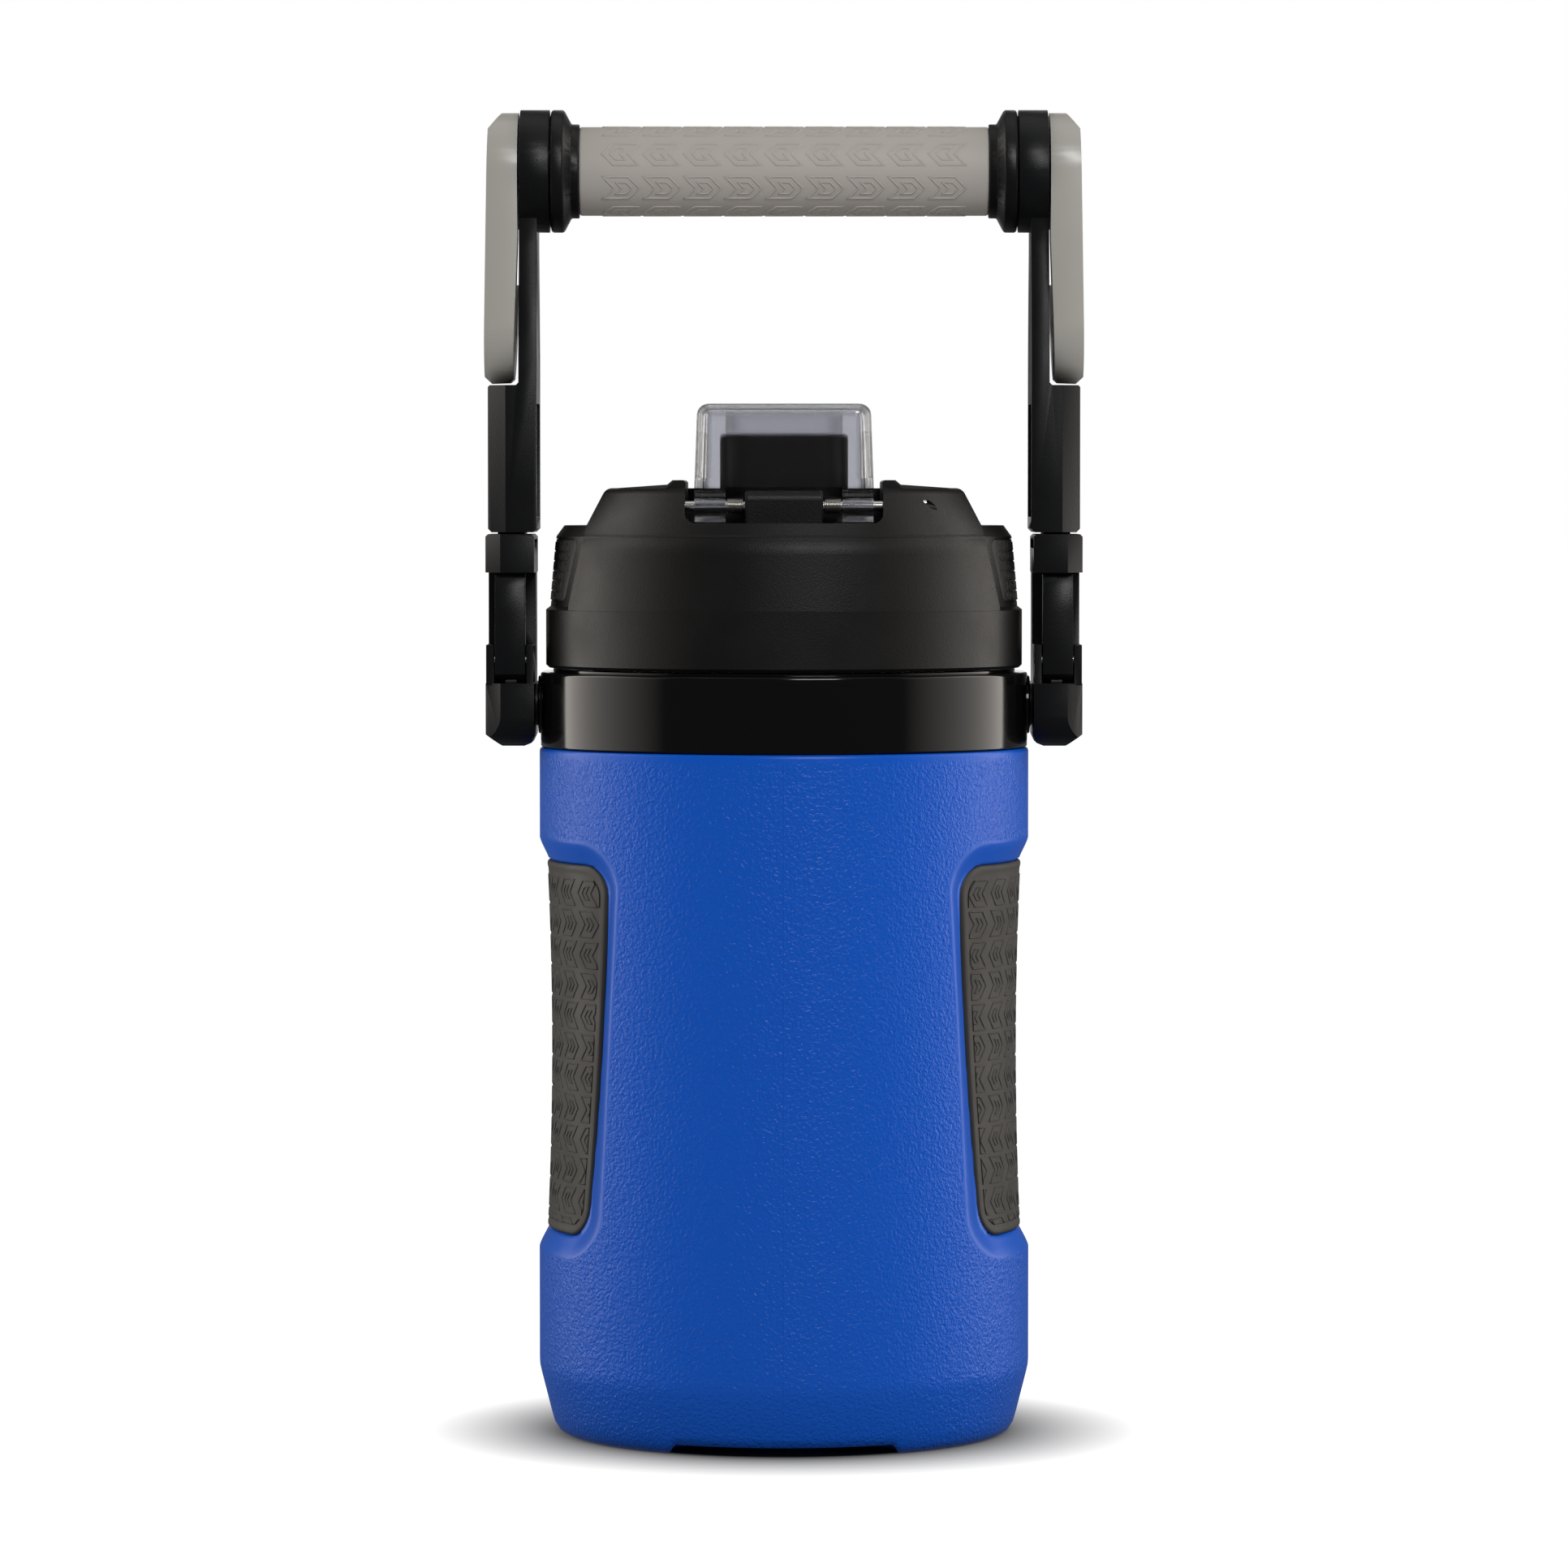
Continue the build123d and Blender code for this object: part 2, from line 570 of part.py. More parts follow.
def upper_arm():
    """Upper link of the right arm: round head, thin blade, full-width foot and a tenon."""
    side = side_prism([(-10.5, GRIP_Z), (10.5, GRIP_Z), (10.5, 326), (YOKE_HALF, 296),
                       (YOKE_HALF, ARM_LOW), (-YOKE_HALF, ARM_LOW), (-YOKE_HALF, 296), (-10.5, 326)],
                      ARM_IN, ARM_OUT)
    front = front_prism([(ARM_IN, GRIP_Z), (ARM_THIN, GRIP_Z), (ARM_THIN, SHOULDER_Z + 0.7),
                         (ARM_THIN + 0.7, SHOULDER_Z), (ARM_OUT - 0.5, SHOULDER_Z), (ARM_OUT, SHOULDER_Z - 0.5),
                         (ARM_OUT, ARM_LOW + 1), (ARM_OUT - 1, ARM_LOW), (ARM_IN + 1, ARM_LOW),
                         (ARM_IN, ARM_LOW + 1)], 20)
    plan = plan_prism(plan_outline(ARM_IN, ARM_OUT, 76.0, 4.0), ARM_LOW, GRIP_Z)
    arm = side & front & plan
    head = rod_x(HUB_R, 64.3, 72.3, 0, GRIP_Z) + rod_x(15.2, 63.95, 64.4, 0, GRIP_Z)
    tenon = box(71.0, 78.4, -10, 10, 239.0, ARM_LOW + 1)
    tab = box(69.6, 71.5, -11, 11, 243.6, 245.7)
    tab = tab & box(60, 80, -10, 10, 240, 250)
    arm = arm + head + tenon + tab
    arm = arm - box(ARM_IN - 1, ARM_IN + 1.0, -12, 12, 252, 283)
    return arm - rod_x(AXLE_R + 0.02, 60, 80, 0, GRIP_Z)


def end_flange():
    """Grip end on the right: ring, cone and disc."""
    outline = [(56.15, 0), (56.15, 12.9), (58.3, 12.9), (60.1, 16.3), (60.6, HUB_R), (63.4, HUB_R),
               (63.9, 16.3), (63.9, 0)]
    face = Plane.XY * make_face(Polyline(*outline, close=True))
    flange = Pos(0, 0, GRIP_Z) * revolve(face, Axis.X)
    flange = flange - rod_x(9.6, 50, 62.1, 0, GRIP_Z)
    return flange - rod_x(AXLE_R + 0.02, 50, 70, 0, GRIP_Z)


def gate():
    """Spring gate that closes the right yoke's eye."""
    back = [(-10.0, 207.4), (-8.6, 209.0), (-8.6, 236.4)]
    front = [(-13.6, 236.4), (-14.8, 233.0), (-15.4, 226.0), (-15.4, 216.0), (-14.6, 209.0), (-12.6, 207.4)]
    bar = side_prism(back + front, GATE_IN, GATE_OUT)
    slot = box(73.0, 76.8, -11.8, -5, 213.8, 222.0)
    return bar - slot - rod_x(GATE_PIN_R + 0.06, 60, 90, GATE_PIN_Y, GATE_PIN_Z)


def gate_pin():
    """Pin that the gate swings on, pressed in the yoke's cheeks."""
    return rod_x(GATE_PIN_R, YOKE_IN + 0.4, YOKE_OUT - 0.6, GATE_PIN_Y, GATE_PIN_Z)


def gate_spring():
    """Small spring strip behind the gate, rooted in the pivot block."""
    strip = [(-6.9, WINDOW_LOW + 0.02), (-6.3, WINDOW_LOW + 0.02), (-6.6, 212.0), (-7.9, 217.5), (-8.3, 217.3),
             (-7.2, 212.0)]
    return side_prism(strip, 73.4, 76.4)


def hook():
    """Fold-out hook on the right: eye on the axle, shank, and a curl that cups upwards when stowed."""
    low = GRIP_Z - HOOK_REACH
    curl_z = low + HOOK_R
    tip_r = (HOOK_R - HOOK_THROAT_R) / 2
    eye = rod_x(HOOK_R, 60, 90, 0, GRIP_Z)
    shank = box(60, 90, -HOOK_R, -HOOK_THROAT_R, curl_z, GRIP_Z)
    curl = rod_x(HOOK_R, 60, 90, 0, curl_z) - box(60, 90, -20, 20, curl_z, curl_z + 20)
    finger = box(60, 90, HOOK_THROAT_R, HOOK_R, curl_z - 0.5, curl_z + TIP_RISE)
    tip = rod_x(tip_r, 60, 90, HOOK_R - tip_r, curl_z + TIP_RISE)
    side = eye + shank + curl + finger + tip - rod_x(HOOK_THROAT_R, 60, 90, 0, curl_z)
    front = front_prism([(HOOK_IN, 363.0), (HOOK_IN, 328.0), (HOOK_IN + 1.3, low + 1.2), (HOOK_IN + 2.3, low + 0.2),
                         (HOOK_OUT - 1.8, low), (HOOK_OUT, low + 1.8), (81.5, 328.0), (80.9, 358.0), (77.2, 362.9)],
                        20)
    arm = side & front
    arm = arm - rod_x(AXLE_R + 0.06, 60, 90, 0, GRIP_Z)
    return arm - rod_x(7.0, 78.1, 90, 0, GRIP_Z)


def hook_screw():
    """Screw that keeps the right hook on the axle."""
    head = rod_x(6.6, 78.35, 79.9, 0, GRIP_Z) - box(78.9, 81, -0.6, 0.6, GRIP_Z - 4.5, GRIP_Z + 4.5)
    return head + rod_x(1.98, 68.2, 78.5, 0, GRIP_Z)


def axle_rod():
    """Steel rod through the grip and both arm heads."""
    rod = rod_x(AXLE_R, -78.3, 78.3, 0, GRIP_Z)
    return rod - rod_x(2.0, 68.0, 79.0, 0, GRIP_Z) - rod_x(2.0, -79.0, -68.0, 0, GRIP_Z)


def grip_core():
    """Rigid tube under the soft grip."""
    return rod_x(9.5, -62, 62, 0, GRIP_Z) - rod_x(AXLE_R + 0.02, -70, 70, 0, GRIP_Z)


def grip_sleeve():
    """Soft sleeve of the carry grip."""
    return rod_x(GRIP_R, -GRIP_HALF, GRIP_HALF, 0, GRIP_Z) - rod_x(9.55, -60, 60, 0, GRIP_Z)


SINGLE = {
    "outer_shell": outer_shell,
    "insulation_foam": insulation_foam,
    "inner_liner": inner_liner,
    "collar_ring": collar_ring,
    "lid_gasket": lid_gasket,
    "lid_shell": lid_shell,
    "lid_insert": lid_insert,
    "lid_foam": lid_foam,
    "vent_bush": vent_bush,
    "spout": spout,
    "hinge_pin": hinge_pin,
    "button_spring": button_spring,
    "push_button": push_button,
    "cap_cover": cap_cover,
    "cap_seal": cap_seal,
    "axle_rod": axle_rod,
    "grip_core": grip_core,
    "grip_sleeve": grip_sleeve,
}

PAIRED = {
    "side_grip": side_grip,
    "pivot_pin": pivot_pin,
    "pivot_washer": pivot_washer,
    "finger_pad": finger_pad,
    "torsion_spring": torsion_spring,
    "yoke": yoke,
    "upper_arm": upper_arm,
    "end_flange": end_flange,
    "gate": gate,
    "gate_pin": gate_pin,
    "gate_spring": gate_spring,
    "hook": hook,
    "hook_screw": hook_screw,
}


def main():
    os.makedirs("parts", exist_ok=True)
    for name, make in SINGLE.items():
        export_step(make(), f"parts/{name}.step")
    for name, make in PAIRED.items():
        right = make()
        export_step(right, f"parts/right_{name}.step")
        export_step(left_of(right), f"parts/left_{name}.step")


main()
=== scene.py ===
"""Looks of an insulated half-gallon water jug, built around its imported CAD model.

Metres, +Z up, +X to the right arm of the handle, +Y to the drinking side. MM turns millimetres into metres.
New pieces are numpy surfaces: a function of two parameters on a grid, or a profile carried along a path.
"""
import json
from math import atan2, pi, radians

import bmesh
import bpy
import numpy as np
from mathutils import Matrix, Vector

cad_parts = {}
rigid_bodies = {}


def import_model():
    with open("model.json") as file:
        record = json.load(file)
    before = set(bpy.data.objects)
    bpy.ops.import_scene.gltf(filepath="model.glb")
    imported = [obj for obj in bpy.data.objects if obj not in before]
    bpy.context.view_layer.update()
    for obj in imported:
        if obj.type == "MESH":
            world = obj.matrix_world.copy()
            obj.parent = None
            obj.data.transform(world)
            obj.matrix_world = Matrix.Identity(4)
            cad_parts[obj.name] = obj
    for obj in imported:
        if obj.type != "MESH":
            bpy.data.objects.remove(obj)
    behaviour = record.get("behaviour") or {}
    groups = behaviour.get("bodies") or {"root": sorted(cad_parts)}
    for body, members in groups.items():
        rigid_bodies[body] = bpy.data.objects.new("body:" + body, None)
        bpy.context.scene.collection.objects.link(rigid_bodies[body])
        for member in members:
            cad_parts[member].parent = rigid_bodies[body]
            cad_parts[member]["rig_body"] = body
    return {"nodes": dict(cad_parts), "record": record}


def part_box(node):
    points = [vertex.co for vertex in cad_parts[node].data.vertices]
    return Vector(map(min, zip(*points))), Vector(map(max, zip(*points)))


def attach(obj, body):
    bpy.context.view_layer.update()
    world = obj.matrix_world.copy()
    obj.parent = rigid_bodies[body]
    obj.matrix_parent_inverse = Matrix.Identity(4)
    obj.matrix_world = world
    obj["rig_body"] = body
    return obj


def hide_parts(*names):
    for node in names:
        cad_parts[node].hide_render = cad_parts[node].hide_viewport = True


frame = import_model()
nodes = frame["nodes"]
slots = {s["node"]: s["material_slot"] for s in frame["record"]["subparts"]}
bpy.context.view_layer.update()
MM = 0.001


def span(name):
    """Lowest and highest corner of a CAD node's box, in millimetres."""
    return [np.array(corner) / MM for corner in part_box(name)]


# ------------------------------------------------------------------ mesh helpers

def new_piece(name, points, faces, body, slot, replaced=()):
    """A finished mesh piece from an (n, 3) array of millimetre points and a list of face index arrays."""
    mesh = bpy.data.meshes.new(name)
    mesh.from_pydata((np.asarray(points) * MM).tolist(), [], [list(map(int, f)) for f in faces])
    mesh.polygons.foreach_set("use_smooth", np.ones(len(mesh.polygons), bool))
    mesh.update()
    piece = bpy.data.objects.new(name, mesh)
    bpy.context.scene.collection.objects.link(piece)
    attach(piece, body)
    if replaced:
        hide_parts(*replaced)
    dress(piece, slot)
    return piece


def grid_faces(rows, columns, wrap_rows=False, wrap_columns=False, start=0):
    """Quads of a rows by columns grid of points, which may join up with itself either way."""
    i = np.arange(rows if wrap_rows else rows - 1)
    j = np.arange(columns if wrap_columns else columns - 1)
    i, j = np.meshgrid(i, j, indexing="ij")
    i_next = (i + 1) % rows
    j_next = (j + 1) % columns
    corners = [i * columns + j, i * columns + j_next, i_next * columns + j_next, i_next * columns + j]
    return np.stack(corners, -1).reshape(-1, 4) + start


def closed_sheet(front, back):
    """Points and quads of a skin between two (rows, columns, 3) sheets that share their outline."""
    rows, columns = front.shape[:2]
    count = rows * columns
    index = np.arange(count).reshape(rows, columns)
    rim = np.concatenate([index[0], index[1:, -1], index[-1, -2::-1], index[-2:0:-1, 0]])
    ahead = np.roll(rim, -1)
    sides = np.stack([ahead, rim, rim + count, ahead + count], -1)
    far_side = grid_faces(rows, columns, start=count)[:, ::-1]
    points = np.concatenate([front.reshape(-1, 3), back.reshape(-1, 3)])
    return points, np.concatenate([grid_faces(rows, columns), far_side, sides])


def rounded(corners, radii, steps=5):
    """A closed outline, each corner a quadratic curve that starts and ends its radius away from it."""
    corners = np.asarray(corners, float)
    line = []
    for i, (corner, radius) in enumerate(zip(corners, radii)):
        before = corners[i - 1] - corner
        after = corners[(i + 1) % len(corners)] - corner
        before_end = corner + before / np.hypot(*before) * radius
        after_end = corner + after / np.hypot(*after) * radius
        t = np.linspace(0, 1, steps if radius else 1)[:, None]
        line.append((1 - t) ** 2 * before_end + 2 * t * (1 - t) * corner + t ** 2 * after_end)
    return np.concatenate(line)


def turned_z(profile, columns):
    """A closed (radius, height) outline turned about Z: each point's circle is one row of the grid."""
    angle = np.linspace(0, 2 * pi, columns, endpoint=False)
    radius = profile[:, :1]
    points = np.stack(np.broadcast_arrays(radius * np.cos(angle), radius * np.sin(angle), profile[:, 1:]), -1)
    return points.reshape(-1, 3), grid_faces(len(profile), columns, True, True)


def turned_x(profile, columns, y, z):
    """A closed (x, radius) outline turned about an axis along X through (y, z)."""
    angle = np.linspace(0, 2 * pi, columns, endpoint=False)
    radius = profile[:, 1:]
    circles = (y + radius * np.cos(angle), z + radius * np.sin(angle))
    points = np.stack(np.broadcast_arrays(profile[:, :1], *circles), -1)
    return points.reshape(-1, 3), grid_faces(len(profile), columns, True, True)


def tube(path, radius, sides=10):
    """A round wire along a (n, 3) path: at each point a circle square to the path, and flat ends."""
    along = np.gradient(path, axis=0)
    along /= np.linalg.norm(along, axis=1, keepdims=True)
    never_along = (0.31, 0.87, 0.38)
    across = np.cross(along, never_along)
    across /= np.linalg.norm(across, axis=1, keepdims=True)
    third = np.cross(along, across)
    turn = np.linspace(0, 2 * pi, sides, endpoint=False)[:, None, None]
    rings = path + radius * (np.cos(turn) * across + np.sin(turn) * third)
    rings = rings.transpose(1, 0, 2)
    last = (len(path) - 1) * sides + np.arange(sides)
    faces = list(grid_faces(len(path), sides, False, True)[:, ::-1]) + [np.arange(sides), last[::-1]]
    return rings.reshape(-1, 3), faces


def together(*meshes):
    """Several (points, faces) as one."""
    points = np.concatenate([m[0] for m in meshes])
    starts = np.cumsum([0] + [len(m[0]) for m in meshes[:-1]])
    return points, [face + start for (_, faces), start in zip(meshes, starts) for face in faces]


def finer(outline, pieces):
    """Each edge of closed (n, corners, 2) outlines cut into equal pieces."""
    ahead = np.roll(outline, -1, axis=1)
    t = (np.arange(pieces) / pieces)[:, None]
    return (outline[:, :, None] * (1 - t) + ahead[:, :, None] * t).reshape(len(outline), -1, 2)


def mitres(outline):
    """For each corner of closed anticlockwise outlines, the step that moves both its edges in by one."""
    edge = np.roll(outline, -1, axis=1) - outline
    edge /= np.linalg.norm(edge, axis=2, keepdims=True)
    inward = np.stack([-edge[..., 1], edge[..., 0]], -1)
    before = np.roll(inward, 1, axis=1)
    return (inward + before) / (1 + (inward * before).sum(2, keepdims=True))


def ridges(outlines, width, height, lay, sink=0.12, pieces=3):
    """Raised lines along closed flat outlines: foot, crest, crest, foot, each a mitred step further in.

    lay turns flat points and a lift into points in space. The feet sink into the skin, so nothing gapes.
    """
    step = mitres(outlines)
    bevel = width / 4
    insets = np.array([0, bevel, width - bevel, width])
    lifts = np.array([-sink, height, height, -sink])
    rings = [lay(finer(outlines + step * inset, pieces), lift) for inset, lift in zip(insets, lifts)]
    points = np.stack(rings, 1)
    count, _, corners, _ = points.shape
    one = grid_faces(4, corners, False, True)
    faces = one[None] + (np.arange(count) * 4 * corners)[:, None, None]
    return points.reshape(-1, 3), faces.reshape(-1, 4)


def arrowheads(length, half, notch, columns, rows, pitch, drop, first):
    """Anticlockwise arrow outlines in rows that point right and left by turns, as (n, 6, 2) flat points.

    An arrow is length long and twice half wide, with a notch in its tail as deep as its head is long.
    Arrows stand a pitch apart, rows a drop apart, counted down from the first arrow's place.
    """
    shoulder = length - notch
    right = np.array([(0, -half), (shoulder, -half), (length, 0), (shoulder, half), (0, half), (notch, 0)])
    left = (right * (-1, 1) + (length, 0))[::-1]
    column, row = np.meshgrid(np.arange(columns), np.arange(rows), indexing="ij")
    place = np.stack([column * pitch, -row * drop], -1).reshape(-1, 1, 2) + np.asarray(first)
    points_right = ((row.reshape(-1) % 2) == 0)[:, None, None]
    return np.where(points_right, right, left) + place


def softened(name, width, segments=2):
    """A copy of a CAD piece's mesh, merged and cleaned to whole faces, its edges rounded by a bevel."""
    same_point = 0.002 * MM
    flat = radians(0.6)
    sharp = radians(28)
    source = nodes[name]
    shape = bmesh.new()
    shape.from_mesh(source.data)
    bmesh.ops.remove_doubles(shape, verts=shape.verts, dist=same_point)
    bmesh.ops.dissolve_limit(shape, angle_limit=flat, verts=shape.verts, edges=shape.edges)
    bmesh.ops.recalc_face_normals(shape, faces=shape.faces)
    mesh = bpy.data.meshes.new(name + "_softened")
    shape.to_mesh(mesh)
    shape.free()
    mesh.polygons.foreach_set("use_smooth", np.ones(len(mesh.polygons), bool))
    piece = bpy.data.objects.new(name + "_softened", mesh)
    bpy.context.scene.collection.objects.link(piece)
    bevel = piece.modifiers.new("edges", "BEVEL")
    bevel.width = width * MM
    bevel.segments = segments
    bevel.limit_method = "ANGLE"
    bevel.angle_limit = sharp
    bevel.harden_normals = True
    bevel.miter_outer = "MITER_ARC"
    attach(piece, source["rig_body"])
    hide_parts(name)
    dress(piece, slots[name])
    return piece


# ------------------------------------------------------------------ materials

def linear(hex_colour):
    """An sRGB hex colour as linear RGBA."""
    values = np.array([int(hex_colour[i:i + 2], 16) for i in (0, 2, 4)]) / 255
    low = values / 12.92
    high = ((values + 0.055) / 1.055) ** 2.4
    return (*np.where(values <= 0.04045, low, high), 1.0)


def node(tree, kind, links=None, **settings):
    """Adds a shader node, sets its properties and input values, and links {input: (node, output)}."""
    made = tree.nodes.new(kind)
    for key, value in settings.items():
        if hasattr(made, key):
            setattr(made, key, value)
        else:
            made.inputs[key.replace("_", " ")].default_value = value
    for socket, (source, output) in (links or {}).items():
        tree.links.new(source.outputs[output], made.inputs[socket])
    return made


def material(name, colour, roughness, **settings):
    """A material with a Principled shader. Returns the material, its tree and its shader."""
    made = bpy.data.materials.new(name)
    made.use_nodes = True
    tree = made.node_tree
    shader = tree.nodes["Principled BSDF"]
    shader.inputs["Base Color"].default_value = linear(colour)
    shader.inputs["Roughness"].default_value = roughness
    for key, value in settings.items():
        shader.inputs[key.replace("_", " ")].default_value = value
    made.diffuse_color = linear(colour)
    return made, tree, shader


def moulded(name, colour, roughness, grain_mm, depth_mm, spread=0.06, **settings):
    """A moulded plastic: its tool's grain as bump, and gloss that changes slowly as wall and cooling do."""
    cooling_mm = 18
    made, tree, shader = material(name, colour, roughness, **settings)
    place = node(tree, "ShaderNodeTexCoord")
    grain = node(tree, "ShaderNodeTexNoise", {"Vector": (place, "Object")}, Scale=1 / (grain_mm * MM),
                 Detail=2.0)
    bump = node(tree, "ShaderNodeBump", {"Height": (grain, "Fac")}, Strength=1.0, Distance=depth_mm * MM)
    tree.links.new(bump.outputs["Normal"], shader.inputs["Normal"])
    slow = node(tree, "ShaderNodeTexNoise", {"Vector": (place, "Object")}, Scale=1 / (cooling_mm * MM),
                Detail=3.0)
    gloss = node(tree, "ShaderNodeMapRange", {"Value": (slow, "Fac")}, From_Min=0.3, From_Max=0.7,
                 To_Min=roughness - spread, To_Max=roughness + spread)
    tree.links.new(gloss.outputs["Result"], shader.inputs["Roughness"])
    return made


def blow_moulded_polyethylene():
    """Blow-moulded high-density polyethylene from a sandblasted tool, parted down the middle.

    Gives the eye a deep blue with a soft gloss that breaks up over pebbles about a millimetre apart, and
    one fine upright line.
    """
    pebble_mm = 0.95
    pebble_depth_mm = 0.4
    line_half_mm = 0.35
    made, tree, shader = material("blow_moulded_polyethylene", "004EB6", 0.34, Specular_IOR_Level=0.22)
    place = node(tree, "ShaderNodeTexCoord")
    pebbles = node(tree, "ShaderNodeTexNoise", {"Vector": (place, "Object")}, Scale=1 / (pebble_mm * MM),
                   Detail=1.0, Distortion=0.5)
    split = node(tree, "ShaderNodeSeparateXYZ", {"Vector": (place, "Object")})
    off_centre = node(tree, "ShaderNodeMath", {0: (split, "X")}, operation="ABSOLUTE")
    parting_line = node(tree, "ShaderNodeMapRange", {"Value": (off_centre, "Value")},
                        From_Max=line_half_mm * MM, To_Min=0.25, To_Max=0.0)
    height = node(tree, "ShaderNodeMath", {0: (pebbles, "Fac"), 1: (parting_line, "Result")},
                  operation="ADD")
    where = node(tree, "ShaderNodeAttribute", attribute_name="grain")
    bump = node(tree, "ShaderNodeBump", {"Height": (height, "Value"), "Strength": (where, "Fac")},
                Distance=pebble_depth_mm * MM)
    tree.links.new(bump.outputs["Normal"], shader.inputs["Normal"])
    return made


# moulded: name, colour, roughness, grain and its depth in millimetres, and how far the roughness wanders
MATERIALS = {
    "blue_hdpe": blow_moulded_polyethylene(),
    # Foamed in place: dull, cream and visibly cellular.
    "foam": moulded("polyurethane_foam", "DED3A8", 0.9, 1.5, 0.3),
    # Injected in a polished tool: a clean white gloss.
    "liner_white": moulded("moulded_polypropylene", "E4E6E6", 0.3, 0.6, 0.01),
    # Moulded over the shell, fine matt grain: a warm dark grey that throws back almost no highlight.
    "charcoal_tpr": moulded("charcoal_thermoplastic_rubber", "272522", 0.62, 0.35, 0.03),
    # Mirror tool and a clear cap layer: deep black with long sharp reflections of the softboxes.
    "gloss_black": moulded("gloss_acrylic_capped_abs", "070707", 0.10, 3.0, 0.003, 0.02,
                            Specular_IOR_Level=0.26),
    # Turned from bar: grey metal with a soft shine, which glints in the vent's hole.
    "steel": material("turned_steel", "B9B8B5", 0.28, Metallic=1.0)[0],
    # Drawn and polished: a bright line of light along the hinge pin.
    "bright_steel": material("polished_steel", "D8D8D6", 0.12, Metallic=1.0)[0],
    # Drawn wire: each coil catches one small highlight.
    "spring_steel": material("drawn_spring_wire", "B4B0AA", 0.25, Metallic=1.0)[0],
    # Moulded washer, left as it came: flat black.
    "nylon": moulded("natural_black_nylon", "0C0C0D", 0.45, 0.3, 0.01),
    # Moulded seal: milky and soft.
    "silicone": moulded("moulded_silicone", "D2D2D2", 0.5, 0.5, 0.01),
    # Spark-eroded tool: a satin black whose highlights spread into a warm grey haze.
    "satin_black": moulded("spark_textured_polypropylene", "0F0E0E", 0.42, 0.45, 0.06,
                            Specular_IOR_Level=0.22),
    # Soft insert: duller than the lid around it.
    "pad_black": moulded("black_thermoplastic_rubber", "121211", 0.6, 0.35, 0.02),
    # Smooth tool: the darkest black, seen through the clear cap.
    "spout_black": moulded("satin_black_polypropylene", "060606", 0.4, 0.5, 0.01, Specular_IOR_Level=0.3),
    # Fine etched tool: even black with dim edges.
    "arm_black": moulded("fine_grained_black_nylon", "0C0D0F", 0.38, 0.4, 0.04,
                          Specular_IOR_Level=0.2),
    # Injected in a polished tool: clear, faintly smoky, bright at its edges.
    "clear_cap": material("clear_copolyester", "B8B9C1", 0.03, IOR=1.5, Transmission_Weight=1.0,
                          Alpha=0.7)[0],
    # Moulded plug: a pale haze behind the clear cap.
    "clear_silicone": material("translucent_silicone", "D6D7E0", 0.35, IOR=1.41, Transmission_Weight=0.8,
                               Alpha=0.45)[0],
    # Smooth tool: light warm grey with a low even gloss.
    "hook_grey": moulded("semi_gloss_grey_abs", "9D9A94", 0.33, 0.8, 0.008),
    # Moulded over the grip's core: warm light grey, nearly matt.
    "grey_tpr": moulded("warm_grey_thermoplastic_rubber", "A29D97", 0.6, 0.3, 0.015),
}


def dress(piece, slot):
    """Gives a piece the finish of its material slot."""
    piece.data.materials.clear()
    piece.data.materials.append(MATERIALS[slot])


for name, piece in nodes.items():
    dress(piece, slots[name])


# ------------------------------------------------------------------ jug body

BODY_TOP = span("outer_shell")[1][2]
GRIP_LOW = span("right_side_grip")[0][2]
GRIP_HIGH = span("right_side_grip")[1][2]
SCOOP_LOW = GRIP_LOW - 5.7
SCOOP_HIGH = GRIP_HIGH + 6.2
WAIST_R = 64.0
WAIST_MIDDLE = (GRIP_LOW + GRIP_HIGH) / 2
NOTCH_HALF = 29.0
NOTCH_RAMP = 2.2
FOOT_RISE = 3.0
SCOOP_LEAST_R = 47.0
# Upright trapezoids: low and high edge, half-width at each, corner radius.
SCOOP = (SCOOP_LOW, SCOOP_HIGH, 45.5, 51.0, 13.0)
GRIP = (GRIP_LOW, GRIP_HIGH, 36.6, 44.1, 8.0)


def climb(low, high, value):
    """0 below low, 1 above high, and a straight line between them."""
    return np.clip((value - low) / (high - low), 0, 1)


def smoothstep(low, high, value):
    """0 below low, 1 above high, and a cubic ease between them."""
    t = climb(low, high, value)
    return t * t * (3 - 2 * t)


def waist(z):
    """Radius of the waisted flank: a parabola, narrowest at its middle and 1.8 more 61.2 above and below."""
    return WAIST_R + 1.8 * ((z - WAIST_MIDDLE) / 61.2) ** 2


def outline_depth(y, z, low, high, low_half, high_half, corner):
    """Distance inside a trapezoid with round corners, and how far its nearest edge is a level one."""
    half = low_half + (high_half - low_half) * climb(low, high, z)
    across = np.abs(y) - (half - corner)
    up = np.abs(z - (low + high) / 2) - ((high - low) / 2 - corner)
    outside = np.hypot(np.maximum(across, 0), np.maximum(up, 0))
    depth = corner - outside - np.minimum(np.maximum(across, up), 0)
    level = np.where(outside > 0, np.maximum(up, 0) / np.maximum(outside, 1e-9), up > across)
    return depth, level


def body_radius(full, y, z):
    """Outer radius of the body: full, less the scoop with its sloping lips, less the grip's pocket.

    A lip is mostly a straight slope with a share of ease at both ends. Walls narrow on the way up.
    """
    lip_level = 5.8
    wall = 6.9 - 3.1 * climb(SCOOP_LOW, SCOOP_HIGH, z)
    depth, level = outline_depth(y, z, *SCOOP)
    slope = np.clip(depth / (wall + (lip_level - wall) * level), 0, 1)
    share = 0.65 * slope + 0.35 * smoothstep(0, 1, slope)
    floor = waist(z) - 0.4
    pocket, _ = outline_depth(y * waist(z) / full, z, *GRIP)
    radius = full + share * (floor - full) - 1.2 * smoothstep(-0.4, 0.0, pocket)
    outside_skin = full > 63
    return np.where(outside_skin, radius, full), depth


